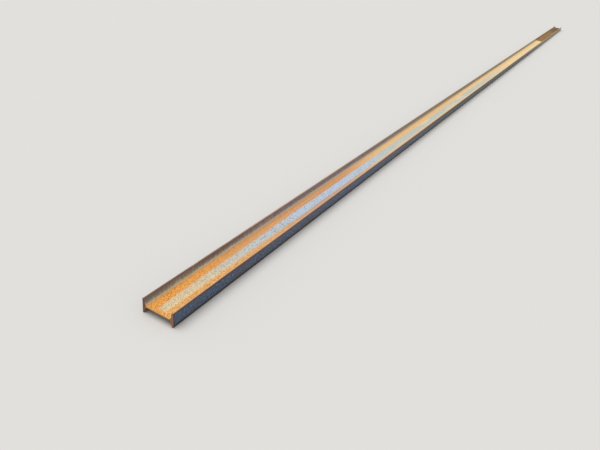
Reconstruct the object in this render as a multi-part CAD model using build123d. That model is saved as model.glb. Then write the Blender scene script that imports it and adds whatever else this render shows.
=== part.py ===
from build123d import *
import math
import os

# A light hot-rolled steel I-beam with tapered flanges, lying as such stock is stacked: the web is
# level, the flanges stand upright, and it rests on their lower toes. Sizes are in millimetres.
# X runs along the beam, Y across its depth and Z up. The origin is under the middle of its length.

# Length the stock is sold in, and the size over the rolled section
length = 9000.0
depth = 100.0
flange_width = 45.0

# Thickness of the steel. The flange is measured half way out from the web and tapers to its toes.
web_thickness = 4.0
flange_thickness = 6.0
flange_taper_degrees = 8.0

# Rounding that the rolls leave
root_radius = 7.0
toe_radius = 3.0
outer_edge_radius = 0.8

outer_face = depth / 2
toe_height = flange_width / 2
web_face = web_thickness / 2


def flange_thickness_at(height):
    """Thickness of the tapered flange at a height above the middle of the web."""
    gauge_height = (web_face + toe_height) / 2
    return flange_thickness + (gauge_height - height) * math.tan(math.radians(flange_taper_degrees))


def rounded(face, corner, radius):
    """The face with the corner at the given place rounded off."""
    nearest = face.vertices().sort_by_distance(corner)[0]
    return fillet(nearest, radius)


def quarter_section():
    """A quarter of the section, from the middle of the web to one toe, with its three curves."""
    outer_corner = (outer_face, toe_height)
    toe_corner = (outer_face - flange_thickness_at(toe_height), toe_height)
    root_corner = (outer_face - flange_thickness_at(web_face), web_face)
    outline = Polyline(
        (0, 0),
        (outer_face, 0),
        outer_corner,
        toe_corner,
        root_corner,
        (0, web_face),
        close=True,
    )
    quarter = make_face(outline)
    quarter = rounded(quarter, root_corner, root_radius)
    quarter = rounded(quarter, toe_corner, toe_radius)
    return rounded(quarter, outer_corner, outer_edge_radius)


def rolled_section():
    """The whole section about its centre, with its depth along the first axis."""
    quarter = quarter_section()
    upper_half = quarter + mirror(quarter, about=Plane.YZ)
    return upper_half + mirror(upper_half, about=Plane.XZ)


def i_beam():
    """The section carried along the length, resting on the lower toes of its flanges."""
    near_end = Plane(origin=(-length / 2, 0, toe_height), x_dir=(0, 1, 0), z_dir=(1, 0, 0))
    return extrude(near_end * rolled_section(), amount=length)


os.makedirs("parts", exist_ok=True)
export_step(i_beam(), "parts/i_beam.step")
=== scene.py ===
import bmesh
import bpy
import math
import random
from types import SimpleNamespace
from mathutils import Matrix, Vector, noise


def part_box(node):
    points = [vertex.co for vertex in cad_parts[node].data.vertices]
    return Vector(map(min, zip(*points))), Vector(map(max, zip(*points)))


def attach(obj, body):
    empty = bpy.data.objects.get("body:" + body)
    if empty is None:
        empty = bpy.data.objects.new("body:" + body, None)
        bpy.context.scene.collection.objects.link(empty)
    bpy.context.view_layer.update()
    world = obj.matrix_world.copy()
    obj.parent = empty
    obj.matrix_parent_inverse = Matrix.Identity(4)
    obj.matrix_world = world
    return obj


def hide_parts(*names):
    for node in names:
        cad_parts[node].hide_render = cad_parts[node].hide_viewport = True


# A light rolled steel I-beam that has lain outdoors with its web level. Rust has grown where rain
# stands in the channel above the web, on the toes and on the sawn ends, and the flanges keep their
# blue mill scale outside. Shapes are in metres, and the finishes' patterns in millimetres.

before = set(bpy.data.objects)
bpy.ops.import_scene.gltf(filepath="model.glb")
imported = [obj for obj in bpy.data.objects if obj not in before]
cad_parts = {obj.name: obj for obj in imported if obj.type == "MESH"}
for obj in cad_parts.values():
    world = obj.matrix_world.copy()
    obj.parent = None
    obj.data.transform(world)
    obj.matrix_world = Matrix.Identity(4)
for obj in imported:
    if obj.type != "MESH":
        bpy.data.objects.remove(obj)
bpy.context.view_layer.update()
low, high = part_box("i_beam")

mm = 0.001

# The rolled section, at the same sizes as the solid
length = high.x - low.x
depth = high.y - low.y
flange_width = high.z - low.z
middle_height = (low.z + high.z) / 2
web_thickness = 4.0 * mm
flange_thickness = 6.0 * mm
flange_taper = math.radians(8)
root_radius = 7.0 * mm
toe_radius = 3.0 * mm
outer_edge_radius = 0.8 * mm

# How finely its curves and its length are divided. The divisions crowd towards the ends.
root_steps = 7
toe_steps = 6
outer_edge_steps = 3
stations = 640
end_crowding = 0.4

# Faces that meet at more than this angle keep a sharp edge between them
sharp_angle = math.radians(32)

# The rim that the saw leaves round each end, with how unevenly it stands
burr_width = 0.7 * mm
burr_height = 0.6 * mm
burr_unevenness = 0.9
burr_waves_per_metre = 260

# The marks of handling on the toes, and how far each toe wanders by itself. The last two values keep
# the wandering of the two flanges, and of the upper and lower toes, apart.
nick_seed = 11
nick_count = 46
nick_lengths = (24 * mm, 75 * mm)
nick_depths = (0.3 * mm, 1.2 * mm)
toe_wander = 0.3 * mm
wander_length = 140 * mm
side_apart = 7
toe_apart = 3

# How far from the near end the darker brown stretch at the far end starts, in millimetres
darker_end_start = 6800.0


def flange_thickness_at(height):
    """Thickness of the tapered flange at a height above the middle of the web."""
    gauge_height = (web_thickness + flange_width) / 4
    return flange_thickness + (gauge_height - height) * math.tan(flange_taper)


def round_corner(bm, corner, radius, turn, steps):
    """Rounds a corner of a flat outline, at which the outline turns by an angle."""
    bmesh.ops.bevel(
        bm,
        geom=[corner],
        offset=radius * math.tan(turn / 2),
        offset_type="OFFSET",
        segments=steps,
        profile=0.5,
        affect="VERTICES",
        material=-1,
    )


def rolled_outline(bm):
    """One flat face with the shape of the section, centred on the X axis at the lowest X."""
    toe = flange_width / 2
    web_face = web_thickness / 2
    square = math.radians(90)
    quarter = [
        (0, 0),
        (depth / 2, 0),
        (depth / 2, toe),
        (depth / 2 - flange_thickness_at(toe), toe),
        (depth / 2 - flange_thickness_at(web_face), web_face),
        (0, web_face),
    ]
    corners = [bm.verts.new((low.x, across, up)) for across, up in quarter]
    bm.faces.new(corners)
    outer_edge, toe_corner, root = corners[2], corners[3], corners[4]
    round_corner(bm, outer_edge, outer_edge_radius, square, outer_edge_steps)
    round_corner(bm, toe_corner, toe_radius, square - flange_taper, toe_steps)
    round_corner(bm, root, root_radius, square - flange_taper, root_steps)
    for axis in ("Y", "Z"):
        whole = bm.verts[:] + bm.edges[:] + bm.faces[:]
        bmesh.ops.mirror(bm, geom=whole, matrix=Matrix(), merge_dist=0.01 * mm, axis=axis)
    bmesh.ops.recalc_face_normals(bm, faces=bm.faces[:])
    bmesh.ops.dissolve_faces(bm, faces=bm.faces[:], use_verts=False)


def saw_rim(bm):
    """Sinks each end face a little inside a narrow rim, which stands as the burr of the saw."""
    for end in [face for face in bm.faces if abs(face.normal.x) > 0.9]:
        bmesh.ops.inset_region(bm, faces=[end], thickness=burr_width, depth=0, use_even_offset=True)
        inward = -end.normal * burr_height
        bmesh.ops.translate(bm, verts=end.verts[:], vec=inward)


def divide_length(bm):
    """Cuts the long faces into stations, closer together towards the two ends."""
    long_edges = [edge for edge in bm.edges if edge.calc_length() > length / 2]
    bmesh.ops.subdivide_edges(bm, edges=long_edges, cuts=stations - 1)
    for vert in bm.verts:
        share = vert.co.x / (length / 2)
        if abs(share) < 1 - burr_height / length:
            vert.co.x *= 1 + end_crowding * (1 - share * share)


def handling_marks():
    """Where the toes are dented: middle, half length and depth, and the side and toe that each is on."""
    chance = random.Random(nick_seed)
    marks = []
    for _ in range(nick_count):
        middle = chance.uniform(low.x, high.x)
        half_length = chance.uniform(*nick_lengths) / 2
        depth_of_mark = chance.uniform(*nick_depths)
        marks.append((middle, half_length, depth_of_mark, chance.choice((-1, 1)), chance.choice((-1, 1))))
    return marks


def wear_toes(bm):
    """Lets each toe wander a little along its length, and presses the marks of handling into it."""
    marks = handling_marks()
    toe = flange_width / 2
    for vert in bm.verts:
        share = (abs(vert.co.z) - toe + toe_radius) / toe_radius
        if share <= 0:
            continue
        side = math.copysign(1, vert.co.y)
        up = math.copysign(1, vert.co.z)
        wave = noise.noise(Vector((vert.co.x / wander_length, side_apart * side, toe_apart * up)))
        press = toe_wander * (0.5 + 0.5 * wave)
        for middle, half_length, mark_depth, mark_side, mark_up in marks:
            away = abs(vert.co.x - middle) / half_length
            if away < 1 and mark_side == side and mark_up == up:
                press += mark_depth * math.cos(away * math.pi / 2) ** 2
        vert.co.z -= up * press * share


def roughen_rims(bm):
    """Makes the burr at each end stand unevenly."""
    rim = 0.1 * burr_height
    for vert in bm.verts:
        from_end = length / 2 - abs(vert.co.x)
        if from_end < rim:
            raised = 0.5 + 0.5 * noise.noise(vert.co * burr_waves_per_metre)
            vert.co.x -= math.copysign(burr_height * burr_unevenness * (1 - raised), vert.co.x)


def rolled_beam():
    """The whole beam as one closed mesh."""
    bm = bmesh.new()
    rolled_outline(bm)
    grown = bmesh.ops.extrude_face_region(bm, geom=bm.faces[:])
    moved = [part for part in grown["geom"] if isinstance(part, bmesh.types.BMVert)]
    bmesh.ops.translate(bm, verts=moved, vec=(length, 0, 0))
    bmesh.ops.recalc_face_normals(bm, faces=bm.faces[:])
    saw_rim(bm)
    divide_length(bm)
    wear_toes(bm)
    roughen_rims(bm)
    bmesh.ops.translate(bm, verts=bm.verts[:], vec=(0, 0, middle_height))
    bmesh.ops.recalc_face_normals(bm, faces=bm.faces[:])
    for face in bm.faces:
        face.smooth = True
    for edge in bm.edges:
        edge.smooth = edge.calc_face_angle(0) < sharp_angle
    mesh = bpy.data.meshes.new("rolled_i_beam")
    bm.to_mesh(mesh)
    bm.free()
    beam = bpy.data.objects.new("rolled_i_beam", mesh)
    bpy.context.collection.objects.link(beam)
    beam.modifiers.new("flat_faces_stay_flat", "WEIGHTED_NORMAL").keep_sharp = True
    return beam


def linear(colour):
    """An sRGB hex colour as linear red, green, blue and alpha."""
    shares = [int(colour[place : place + 2], 16) / 255 for place in (1, 3, 5)]
    return [s / 12.92 if s <= 0.04045 else ((s + 0.055) / 1.055) ** 2.4 for s in shares] + [1]


def add(tree, kind, inputs, output=0, **settings):
    """Adds a node with its settings, sets or links its inputs, and gives one of its outputs."""
    made = tree.nodes.new(kind)
    for name, value in settings.items():
        setattr(made, name, value)
    for name, value in inputs.items():
        if isinstance(value, bpy.types.NodeSocket):
            tree.links.new(value, made.inputs[name])
        else:
            made.inputs[name].default_value = value
    return made.outputs[output]


# Sockets of a Mix node for numbers and for colours
number_under, number_over, number_mixed = 2, 3, 0
colour_under, colour_over, colour_mixed = 6, 7, 2


def patches(tree, at, size, thin, thick, seed, detail=3.0):
    """0 to 1 in patches of a size in millimetres along, across and up. Higher limits leave fewer.

    Real grains of rust are under 1 mm across, too fine to show from where the camera stands. They are
    drawn at 3 to 6 mm, as coarse as they need to be to show.
    """
    spread = add(tree, "ShaderNodeVectorMath", {0: at.place, 1: size}, operation="DIVIDE")
    cloud = add(
        tree,
        "ShaderNodeTexNoise",
        {"Vector": spread, "W": seed, "Scale": 1.0, "Detail": detail, "Roughness": 0.6},
        noise_dimensions="4D",
    )
    return add(
        tree,
        "ShaderNodeMapRange",
        {"Value": cloud, "From Min": thin, "From Max": thick},
        interpolation_type="SMOOTHSTEP",
    )


def frayed(tree, at, distance, start, whole, fray, seed):
    """0 before start and 1 past whole of a distance in millimetres, with an edge that wanders and frays."""
    bends = patches(tree, at, (340, 900, 900), 0.2, 0.8, seed=seed, detail=1.0)
    threads = patches(tree, at, (7, 5, 5), 0.3, 0.7, seed=seed + 5, detail=4.0)
    swing = add(tree, "ShaderNodeMath", {0: bends, 1: threads}, operation="ADD")
    moved = add(tree, "ShaderNodeMath", {0: swing, 1: fray, 2: distance}, operation="MULTIPLY_ADD")
    return add(
        tree,
        "ShaderNodeMapRange",
        {"Value": moved, "From Min": start + fray, "From Max": whole + fray},
        interpolation_type="SMOOTHSTEP",
    )


def coats(tree, base, layers):
    """Finishes laid one over another, each with how thickly it lies and what bounds it.

    A bound is a mask, or a distance in millimetres with where the coat starts and where it is whole.
    """
    colour, roughness, height = base
    for mask, bounds, (over_colour, over_roughness, over_height) in layers:
        for bound in bounds:
            if isinstance(bound, tuple):
                distance, start, whole = bound
                bound = add(
                    tree,
                    "ShaderNodeMapRange",
                    {"Value": distance, "From Min": start, "From Max": whole},
                    interpolation_type="SMOOTHSTEP",
                )
            mask = add(tree, "ShaderNodeMath", {0: mask, 1: bound}, operation="MULTIPLY")
        colour = add(
            tree,
            "ShaderNodeMix",
            {0: mask, colour_under: colour, colour_over: over_colour},
            output=colour_mixed,
            data_type="RGBA",
        )
        roughness = add(
            tree,
            "ShaderNodeMix",
            {0: mask, number_under: roughness, number_over: over_roughness},
            output=number_mixed,
        )
        height = add(
            tree,
            "ShaderNodeMix",
            {0: mask, number_under: height, number_over: over_height},
            output=number_mixed,
        )
    return colour, roughness, height


def rolled_scale(colour):
    """Hard oxide from the rolls: smooth, and a little glossy."""
    return linear(colour), 0.48, 0.0


def worn_scale(colour):
    """Oxide that rain and dust have dulled."""
    return linear(colour), 0.66, -0.05


def powder(colour, height=0.3):
    """Rust, which is matt and stands on the steel."""
    return linear(colour), 0.88, height


def web_rust(tree, at):
    """Loose rust in grains with brown clots: orange by the near end, duller further in, then a painted pale
    gold sheen.
    """
    grains = patches(tree, at, (3.6, 3.0, 3.0), 0.44, 0.57, seed=1.0, detail=5.0)
    clots = patches(tree, at, (14, 8, 8), 0.46, 0.62, seed=2.0, detail=5.0)
    mottle = patches(tree, at, (17, 6, 6), 0.44, 0.6, seed=9.0)
    drains = patches(tree, at, (620, 5, 5), 0.42, 0.64, seed=7.0, detail=2.0)
    broad = patches(tree, at, (170, 24, 24), 0.4, 0.65, seed=8.0)
    specks = patches(tree, at, (4.4, 3.4, 3.4), 0.57, 0.66, seed=4.0, detail=4.0)
    rain_side = (at.across, 4.0, -22.0)
    right_strip = (at.across, -12.0, -20.0)
    # Further from the near end a painted sky sheen pales the rust
    painted_sheen = (at.from_near, 1000.0, 1600.0)
    return coats(
        tree,
        powder("#FFB65A"),
        [
            (0.9, [rain_side], powder("#FFCC80")),
            (0.7, [broad, grains], powder("#DE9A50")),
            (0.85, [grains], powder("#DC9040", 0.1)),
            (0.9, [clots, grains], powder("#C67832", 0.45)),
            (1.0, [specks], powder("#844A22", 0.0)),
            (0.5, [(at.across, 0.0, 14.0), (at.from_near, 100.0, 480.0)], powder("#C88E64")),
            (0.4, [(at.from_near, 450.0, 850.0)], powder("#D29C74")),
            (0.45, [mottle, (at.from_near, 150.0, 600.0)], powder("#BC7E52", 0.1)),
            (0.35, [drains, (at.from_near, 100.0, 500.0)], powder("#ECC092")),
            (0.5, [right_strip, (at.from_near, 500.0, 720.0)], powder("#B6A29A")),
            # Painted sky sheen: cream, then paler gold further along, with the clots, grains and specks
            # through it
            (0.8, [painted_sheen], powder("#FBD093")),
            (0.6, [(at.from_near, 2000.0, 3200.0)], powder("#FCE2B0")),
            (0.55, [rain_side, painted_sheen], powder("#E6DCC4")),
            (0.45, [clots, painted_sheen], powder("#F0C48A", 0.45)),
            (0.5, [grains, painted_sheen], powder("#E4B476", 0.1)),
            (0.7, [specks, painted_sheen], powder("#A4723E", 0.0)),
        ],
    )


def web_middle(tree, at):
    """The web's dry middle: peppered pale scale, cream by the near end, then grey with a painted blue sky
    reflection, then a painted gold sheen.
    """
    dusty = patches(tree, at, (160, 12, 12), 0.36, 0.66, seed=12.0)
    bloom = patches(tree, at, (6, 5, 5), 0.47, 0.62, seed=13.0, detail=5.0)
    specks = patches(tree, at, (4.2, 3.4, 3.4), 0.5, 0.6, seed=14.0, detail=4.0)
    pits = patches(tree, at, (4.4, 3.6, 3.6), 0.57, 0.66, seed=15.0, detail=3.0)
    pepper = patches(tree, at, (9, 4.5, 4.5), 0.55, 0.64, seed=16.0, detail=4.0)
    gilded = patches(tree, at, (420, 60, 40), 0.5, 0.6, seed=18.0, detail=4.0)
    by_near_end = (at.from_near, 900.0, 400.0)
    further_in = (at.from_near, 400.0, 900.0)
    # Where a painted sky sheen pales the scale, and further on turns it gold
    painted_sheen = (at.from_near, 1000.0, 1800.0)
    golden = (at.from_near, 3300.0, 4900.0)
    return coats(
        tree,
        # The pale blue of this base, and of the bloom further in, is grey scale with a painted reflection
        # of the sky
        worn_scale("#BBD2EC"),
        [
            (0.4, [dusty], worn_scale("#CBD2D6")),
            (1.0, [(at.from_near, 720.0, 220.0)], worn_scale("#CECCC0")),
            (1.0, [(at.from_near, 400.0, 20.0)], worn_scale("#E6CC9E")),
            (0.7, [(at.across, -1.0, -14.0), (at.from_near, 420.0, 60.0)], worn_scale("#FFDE9C")),
            (0.5, [bloom, by_near_end], worn_scale("#E6E0CC")),
            (0.4, [bloom, further_in], worn_scale("#D0DAE2")),
            (0.5, [specks], worn_scale("#968C7E")),
            (0.3, [specks, by_near_end], worn_scale("#968C7E")),
            (0.35, [pits], worn_scale("#6A6E70")),
            (0.5, [pits, by_near_end], worn_scale("#5A564E")),
            (0.85, [pepper, (at.from_near, 180.0, 560.0)], worn_scale("#616C76")),
            # Painted sky sheen further in: paler grey, then gold patches and gold all over, with bloom,
            # specks and pits through it
            (0.75, [painted_sheen], worn_scale("#CBCEB8")),
            (0.5, [specks, painted_sheen], worn_scale("#A8A28E")),
            (0.5, [pits, painted_sheen], worn_scale("#7A7668")),
            (0.6, [gilded, (at.from_near, 1400.0, 2000.0)], powder("#F2DAA8", 0.1)),
            (0.85, [golden], powder("#FFDFA0", 0.3)),
            (0.5, [bloom, golden], powder("#FFEBC0", 0.4)),
            (0.5, [specks, golden], powder("#DCB070", 0.15)),
            (0.6, [pits, golden], powder("#966A3C", 0.0)),
        ],
    )


def sheltered_rust(tree, at):
    """Deeper brown rust in fine grains over the last two metres."""
    grains = patches(tree, at, (5, 4, 4), 0.44, 0.58, seed=81.0, detail=5.0)
    clots = patches(tree, at, (18, 10, 10), 0.44, 0.62, seed=82.0, detail=5.0)
    streaks = patches(tree, at, (260, 14, 14), 0.42, 0.64, seed=83.0, detail=4.0)
    specks = patches(tree, at, (5, 4, 4), 0.56, 0.66, seed=86.0, detail=4.0)
    furthest = (at.from_near, 8000.0, 8450.0)
    return coats(
        tree,
        powder("#9E7438"),
        [
            (0.8, [grains], powder("#7A5226", 0.1)),
            (0.6, [clots], powder("#8C5E2A", 0.45)),
            (0.4, [streaks], powder("#9E7E4A", 0.3)),
            (0.8, [specks], powder("#54381C", 0.0)),
            (0.7, [furthest, (at.side, 38.0, 22.0)], powder("#543C1C", 0.2)),
            (0.4, [furthest, (at.across, -6.0, -30.0)], powder("#8E7648")),
        ],
    )


def flange_inside(tree, at):
    """Purple-brown by the toe, grey below and pale at the root, with thin runs, and paled by a painted
    sheen further in.
    """
    runs = patches(tree, at, (4.2, 60, 30), 0.42, 0.6, seed=31.0)
    stains = patches(tree, at, (110, 60, 24), 0.46, 0.62, seed=33.0)
    grit = patches(tree, at, (3.6, 3.6, 3.6), 0.5, 0.6, seed=34.0, detail=2.0)
    rust_spots = patches(tree, at, (8, 6, 6), 0.6, 0.7, seed=35.0)
    drips = patches(tree, at, (8, 60, 36), 0.3, 0.7, seed=38.0, detail=5.0)
    drip_length = 4.0
    level = add(tree, "ShaderNodeMath", {0: drips, 1: drip_length, 2: at.rise}, operation="MULTIPLY_ADD")
    greyer = (at.from_near, 300.0, 600.0)
    further_in = (at.from_near, 450.0, 900.0)
    painted_sheen = (at.from_near, 1300.0, 2800.0)
    return coats(
        tree,
        worn_scale("#8F7B7A"),
        [
            (1.0, [(level, 20.0, 14.0)], worn_scale("#A19D98")),
            (1.0, [(level, 14.0, 9.6)], worn_scale("#B4BAB2")),
            (1.0, [(level, 10.0, 6.4)], worn_scale("#D8D5B8")),
            (0.75, [(level, 21.0, 17.0), greyer], worn_scale("#AEACBA")),
            (0.8, [(level, 13.0, 9.5), greyer], worn_scale("#B6B6C2")),
            (0.7, [stains, (level, 9.0, 17.0)], worn_scale("#8A665E")),
            (0.5, [runs], worn_scale("#706A6C")),
            (0.6, [grit], worn_scale("#6B5F60")),
            (0.5, [rust_spots], powder("#A67047")),
            (0.4, [(at.from_near, 260.0, 40.0), (level, 22.0, 16.0)], worn_scale("#A2A08E")),
            (0.5, [(at.from_near, 100.0, 30.0), (level, 11.0, 15.0)], worn_scale("#6C7478")),
            (0.35, [further_in], worn_scale("#A2A8AE")),
            (0.4, [grit, further_in], worn_scale("#625C5E")),
            # Painted sheen pales the face further in, most towards the root; the runs, grit and rust spots
            # below show through it
            (0.6, [painted_sheen], worn_scale("#B4A07C")),
            (0.5, [painted_sheen, (level, 14.0, 7.0)], worn_scale("#FFE6B4")),
            (0.8, [(at.side, 42.6, 40.5)], worn_scale("#DCC496")),
            (0.3, [runs, painted_sheen], worn_scale("#8E7A60")),
            (0.35, [grit, painted_sheen], powder("#806A50", 0.1)),
            (0.5, [rust_spots, painted_sheen], powder("#A67A48", 0.2)),
            # Darker brown over the last two metres
            (0.6, [at.sheltered], worn_scale("#A67C38")),
            (0.35, [grit, at.sheltered], powder("#74542C", 0.1)),
        ],
    )


def flange_toe(tree, at):
    """Rubbed and lightly rusted: tan with brown stretches, paled by a painted sheen further in, and darker
    over the last two metres.
    """
    stretches = patches(tree, at, (46, 6, 6), 0.42, 0.62, seed=41.0)
    bright = patches(tree, at, (9, 3, 3), 0.54, 0.64, seed=43.0)
    grains = patches(tree, at, (6, 4, 4), 0.48, 0.6, seed=44.0, detail=5.0)
    left_toe = (at.across, 30.0, 42.0)
    right_toe = (at.across, -30.0, -42.0)
    inner_round = (at.across, 48.2, 46.8)
    by_near_end = (at.from_near, 700.0, 40.0)
    painted_sheen = (at.from_near, 1200.0, 2000.0)
    return coats(
        tree,
        powder("#D6A888", 0.0),
        [
            (0.6, [stretches], powder("#B08468", 0.05)),
            (0.8, [bright], powder("#E2C2A6", -0.03)),
            (0.5, [right_toe, (at.from_near, 150.0, 400.0)], powder("#EEC09A", 0.0)),
            (0.4, [left_toe], powder("#A07C68", 0.0)),
            (0.7, [left_toe, by_near_end], powder("#C4A292", 0.0)),
            # Painted shade: the rounding of the left toe, dark by the near end
            (0.85, [left_toe, inner_round, by_near_end], powder("#4E3832", 0.0)),
            # Further in, a painted sheen pales the toes and the left toe is darker; grains and bright spots
            # show through
            (0.5, [painted_sheen], powder("#CDBE9E", 0.0)),
            (0.8, [(at.across, 0.0, 20.0), painted_sheen], powder("#8E7C66", 0.0)),
            (0.35, [grains, painted_sheen], powder("#9A7650", 0.05)),
            (0.5, [bright, painted_sheen], powder("#DCC6A4", -0.03)),
            # Darker brown over the last two metres
            (0.6, [at.sheltered], powder("#887042", 0.0)),
        ],
    )


def flange_outside(tree, at):
    """Whole blue scale with runs, brown margins and a few pale scratches, paled by a painted sheen towards
    the far end.
    """
    runs = patches(tree, at, (15, 20, 90), 0.4, 0.62, seed=56.0)
    clouds = patches(tree, at, (180, 60, 22), 0.36, 0.62, seed=57.0)
    russet = patches(tree, at, (10, 8, 12), 0.55, 0.68, seed=58.0)
    blotches = patches(tree, at, (80, 40, 16), 0.52, 0.66, seed=64.0, detail=4.0)
    rusting = patches(tree, at, (260, 60, 60), 0.45, 0.65, seed=61.0, detail=2.0)
    grit = patches(tree, at, (9.0, 5.0, 5.0), 0.42, 0.62, seed=60.0, detail=6.0)
    pale_grit = patches(tree, at, (8.0, 5.0, 5.0), 0.5, 0.66, seed=62.0, detail=6.0)
    scratched = patches(tree, at, (140, 60, 30), 0.5, 0.6, seed=63.0, detail=2.0)
    scratches = patches(tree, at, (30, 2.0, 2.0), 0.66, 0.70, seed=59.0, detail=1.0)
    dust_and_sheen_flecks = patches(tree, at, (12, 7, 7), 0.4, 0.6, seed=66.0, detail=6.0)
    painted_sheen_patches = patches(tree, at, (12, 7, 7), 0.32, 0.54, seed=67.0, detail=6.0)
    greyed = (at.from_near, 1200.0, 2400.0)
    shaded = (at.from_near, 1500.0, 2800.0)
    before_far = (at.from_near, 5900.0, 4700.0)
    # Towards the far end a painted sheen pales the scale
    far = (at.from_near, 5400.0, 7200.0)
    lower_margin = frayed(tree, at, at.height, start=10.0, whole=3.0, fray=3.0, seed=51.0)
    upper_margin = frayed(tree, at, at.height, start=34.0, whole=42.0, fray=3.0, seed=54.0)
    return coats(
        tree,
        rolled_scale("#3E5A82"),
        [
            (0.8, [clouds], rolled_scale("#42566E")),
            (1.0, [(at.from_near, 600.0, 60.0)], rolled_scale("#325A80")),
            (0.6, [(at.from_near, 700.0, 900.0), (at.from_near, 1500.0, 1250.0)], rolled_scale("#2E5C8E")),
            (0.6, [(at.height, 21.0, 34.0), (at.from_near, 200.0, 480.0)], rolled_scale("#5C5660")),
            (0.4, [runs], rolled_scale("#5A5860")),
            (0.9, [grit], rolled_scale("#223046")),
            (0.62, [pale_grit], rolled_scale("#8C9AB0")),
            (0.7, [(at.height, 15.0, 7.0)], rolled_scale("#3F454C")),
            (0.4, [greyed], rolled_scale("#4A5052")),
            (0.4, [dust_and_sheen_flecks, greyed], rolled_scale("#4E5254")),
            # Painted sheen towards the far end, with flecks and grit through it
            (0.5, [far], rolled_scale("#8C8672")),
            (0.35, [dust_and_sheen_flecks, far], powder("#A0997C", 0.05)),
            (0.5, [pale_grit, far], powder("#8A7458", 0.05)),
            (0.9, [russet, rusting], powder("#7C574A", 0.05)),
            (0.7, [blotches, (at.height, 26.0, 38.0)], powder("#6E4A3E", 0.05)),
            (0.9, [upper_margin], powder("#5A4848", 0.03)),
            (0.8, [(at.height, 40.0, 43.0), (at.from_near, 180.0, 520.0)], powder("#D0A688", 0.03)),
            (1.0, [lower_margin], powder("#443226", 0.06)),
            (0.55, [shaded, before_far, (at.height, 8.0, 24.0)], rolled_scale("#202C2E")),
            # Painted sheen: paler upper part towards the far end
            (0.7, [painted_sheen_patches, far, (at.height, 12.0, 34.0)], powder("#C6BA94", 0.08)),
            (0.7, [scratches, scratched], rolled_scale("#A4AAB0")),
            (0.9, [(at.from_end, 6.0, 2.0)], powder("#4E3A30", 0.04)),
        ],
    )


def under_web(tree, at):
    """Where no rain stands: dull brown scale with rust in long patches."""
    rusty = patches(tree, at, (120, 20, 20), 0.42, 0.62, seed=61.0)
    grains = patches(tree, at, (4, 3, 3), 0.42, 0.6, seed=62.0)
    bare = patches(tree, at, (60, 16, 16), 0.54, 0.66, seed=63.0)
    return coats(
        tree,
        worn_scale("#75655C"),
        [
            (1.0, [bare], rolled_scale("#5C6570")),
            (1.0, [rusty], powder("#9F7046")),
            (1.0, [rusty, grains], powder("#B98450", 0.2)),
        ],
    )


def sawn_end(tree, at):
    """Bare steel that has rusted evenly, with the strokes of the saw across it."""
    strokes = patches(tree, at, (30, 50, 1.3), 0.42, 0.6, seed=71.0, detail=1.0)
    grains = patches(tree, at, (5, 3.4, 3.4), 0.44, 0.6, seed=73.0)
    return coats(
        tree,
        powder("#976747", 0.0),
        [
            (1.0, [strokes], powder("#85573C", 0.05)),
            (1.0, [grains], powder("#A8754E", 0.08)),
            (0.6, [(at.across, 36.0, 44.0)], powder("#6B3F2A", 0.05)),
            (1.0, [(at.side, 41.0, 36.0)], powder("#DCA866", 0.08)),
        ],
    )


def places(tree):
    """Where a point is, in millimetres: its place, and how far it is from what its finish goes by."""
    metres = add(tree, "ShaderNodeTexCoord", {}, output="Object")
    place = add(tree, "ShaderNodeVectorMath", {0: metres, "Scale": 1 / mm}, operation="SCALE")
    along = add(tree, "ShaderNodeSeparateXYZ", {0: place}, output="X")
    across = add(tree, "ShaderNodeSeparateXYZ", {0: place}, output="Y")
    height = add(tree, "ShaderNodeSeparateXYZ", {0: place}, output="Z")
    half_length = length / mm / 2
    from_near = add(tree, "ShaderNodeMath", {0: along, 1: half_length}, operation="ADD")
    run = add(tree, "ShaderNodeMath", {0: along}, operation="ABSOLUTE")
    off_middle = add(tree, "ShaderNodeMath", {0: height, 1: middle_height / mm}, operation="SUBTRACT")
    return SimpleNamespace(
        place=place,
        across=across,
        height=height,
        from_near=from_near,
        # The ramp into the darker brown stretch over the last two metres
        sheltered=(from_near, darker_end_start, darker_end_start + 100.0),
        from_end=add(tree, "ShaderNodeMath", {0: half_length, 1: run}, operation="SUBTRACT"),
        side=add(tree, "ShaderNodeMath", {0: across}, operation="ABSOLUTE"),
        rise=add(tree, "ShaderNodeMath", {0: off_middle}, operation="ABSOLUTE"),
    )


def web_top(tree, at):
    """Rain drains along the flanges, so the web rusts in a band beside each, and across its ends."""
    narrowing = add(
        tree,
        "ShaderNodeMapRange",
        {"Value": at.from_near, "From Min": 300.0, "From Max": 1300.0, "To Min": 13.0, "To Max": 19.5},
    )
    past_right_edge = add(tree, "ShaderNodeMath", {0: at.across, 1: narrowing}, operation="ADD")
    left_band = frayed(tree, at, at.across, start=8.0, whole=14.0, fray=4.0, seed=21.0)
    right_band = frayed(tree, at, past_right_edge, start=2.0, whole=-7.0, fray=4.0, seed=24.0)
    end_band = frayed(tree, at, at.from_end, start=20.0, whole=4.0, fray=8.0, seed=27.0)
    # Darker brown over the last two metres
    sheltered = frayed(
        tree, at, at.from_near, start=darker_end_start, whole=darker_end_start + 60.0, fray=30.0, seed=84.0
    )
    rust = web_rust(tree, at)
    return coats(
        tree,
        web_middle(tree, at),
        [
            (1.0, [left_band], rust),
            (1.0, [right_band], rust),
            (1.0, [end_band], rust),
            (1.0, [sheltered], sheltered_rust(tree, at)),
        ],
    )


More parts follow.
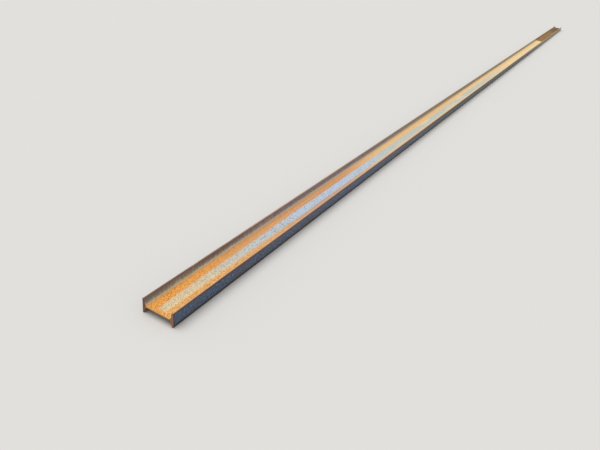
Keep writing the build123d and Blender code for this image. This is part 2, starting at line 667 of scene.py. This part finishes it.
def rusted_mill_scale_steel():
    """Hot-rolled steel: a hard blue-grey scale from rolling, and matt orange rust where it has gone."""
    material = bpy.data.materials.new("rusted_mill_scale_steel")
    material.use_nodes = True
    tree = material.node_tree
    tree.nodes.clear()
    at = places(tree)
    middle, half_width, half_depth = middle_height / mm, flange_width / mm / 2, depth / mm / 2
    below_web = (at.height, middle, middle - 1.0)
    past_root = (at.side, 37.0, 40.0)
    on_toe = (at.rise, half_width - 2.4, half_width - 0.8)
    on_outer_face = (at.side, half_depth - 0.9, half_depth - 0.2)
    on_end = (at.from_end, 1.6, 0.7)
    colour, roughness, relief = coats(
        tree,
        web_top(tree, at),
        [
            (1.0, [below_web], under_web(tree, at)),
            (1.0, [past_root], flange_inside(tree, at)),
            (1.0, [on_toe], flange_toe(tree, at)),
            (1.0, [on_outer_face], flange_outside(tree, at)),
            (1.0, [on_end], sawn_end(tree, at)),
        ],
    )
    bumps = add(tree, "ShaderNodeBump", {"Height": relief, "Distance": mm, "Strength": 1.0})
    surface = add(
        tree,
        "ShaderNodeBsdfPrincipled",
        {"Base Color": colour, "Roughness": roughness, "Normal": bumps},
    )
    shown = tree.nodes.new("ShaderNodeOutputMaterial")
    tree.links.new(surface, shown.inputs["Surface"])
    return material


def pale_floor():
    """A plain floor that the beam lies on."""
    reach = 60
    bm = bmesh.new()
    bmesh.ops.create_grid(bm, x_segments=1, y_segments=1, size=reach)
    mesh = bpy.data.meshes.new("floor")
    bm.to_mesh(mesh)
    bm.free()
    floor = bpy.data.objects.new("floor", mesh)
    bpy.context.collection.objects.link(floor)
    material = bpy.data.materials.new("matt_pale_floor")
    material.use_nodes = True
    surface = material.node_tree.nodes["Principled BSDF"]
    surface.inputs["Base Color"].default_value = linear("#E4E2DE")
    surface.inputs["Roughness"].default_value = 0.9
    surface.inputs["Specular IOR Level"].default_value = 0.0
    floor.data.materials.append(material)


def studio_light():
    """Even light from all round, and a wide soft lamp high up. Past the floor the eye sees its colour."""
    world = bpy.data.worlds.new("studio")
    world.use_nodes = True
    tree = world.node_tree
    tree.nodes.clear()
    seen = add(tree, "ShaderNodeLightPath", {}, output="Is Camera Ray")
    mirrored = add(tree, "ShaderNodeLightPath", {}, output="Is Glossy Ray")
    passed = add(tree, "ShaderNodeLightPath", {}, output="Is Transmission Ray")
    shown = add(tree, "ShaderNodeMath", {0: seen, 1: mirrored}, operation="MAXIMUM")
    shown = add(tree, "ShaderNodeMath", {0: shown, 1: passed}, operation="MAXIMUM")
    light = add(tree, "ShaderNodeBackground", {"Color": linear("#FFFFFF"), "Strength": 0.5})
    backdrop = add(tree, "ShaderNodeBackground", {"Color": linear("#E0DFDB"), "Strength": 1.0})
    either = add(tree, "ShaderNodeMixShader", {0: shown, 1: light, 2: backdrop})
    outside = tree.nodes.new("ShaderNodeOutputWorld")
    tree.links.new(either, outside.inputs["Surface"])
    bpy.context.scene.world = world
    lamp = bpy.data.lights.new("overhead", "SUN")
    lamp.angle = math.radians(50)
    lamp.energy = 1.6
    overhead = bpy.data.objects.new("overhead", lamp)
    overhead.rotation_euler = (math.radians(-18), math.radians(-8), 0)
    bpy.context.collection.objects.link(overhead)


def camera():
    """The camera stands by the near end and looks along the beam, tilted a little to one side."""
    from_near_end = 0.7132
    from_middle = 0.7139
    eye_height = 0.8661
    heading = math.radians(26.65)
    looks_down = math.radians(29.60)
    tilt = math.radians(7.58)
    lens = bpy.data.cameras.new("camera")
    lens.lens = 30.53
    lens.sensor_fit = "HORIZONTAL"
    lens.sensor_width = 36.0
    lens.clip_start = 0.01
    lens.clip_end = 200
    eye = bpy.data.objects.new("camera", lens)
    turned = Matrix.Rotation(heading - math.pi / 2, 4, "Z")
    lowered = Matrix.Rotation(math.pi / 2 - looks_down, 4, "X")
    rolled = Matrix.Rotation(tilt, 4, "Z")
    place = Matrix.Translation((low.x - from_near_end, -from_middle, low.z + eye_height))
    eye.matrix_world = place @ turned @ lowered @ rolled
    bpy.context.collection.objects.link(eye)
    bpy.context.scene.camera = eye


camera()
studio_light()
pale_floor()
beam = rolled_beam()
beam.data.materials.append(rusted_mill_scale_steel())
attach(beam, "root")
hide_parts("i_beam")
bpy.context.scene.view_settings.view_transform = "Standard"
